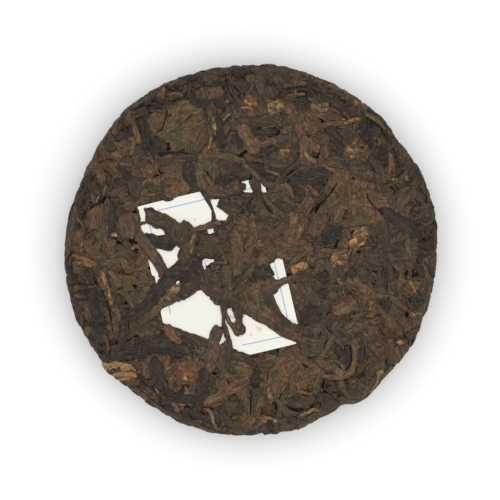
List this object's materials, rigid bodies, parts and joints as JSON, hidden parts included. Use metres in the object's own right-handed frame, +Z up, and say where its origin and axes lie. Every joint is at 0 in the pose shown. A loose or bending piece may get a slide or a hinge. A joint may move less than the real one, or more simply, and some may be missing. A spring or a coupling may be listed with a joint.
{
  "type": "pressed tea cake",
  "caption": "Round domed cake of tightly pressed dark tea leaves, with a thin paper ticket pressed into its face under a few crossing leaf strands.",
  "frame": {"origin": "on the table, under the middle of the cake", "axes": "+Z up out of the domed face, the short way through the cake; +X to the right and +Y away as seen from above with the ticket's top edge away"},
  "size_m": [0.11, 0.1091, 0.0173],
  "materials": {
    "tea_leaf": "dry, wrinkled and matt, with a faint sheen on pressed flats",
    "ticket_paper": "thin uncoated paper"
  },
  "bodies": {
    "root": {"pressed_tea": "tea_leaf", "inner_ticket": "ticket_paper"}
  },
  "joints": []
}
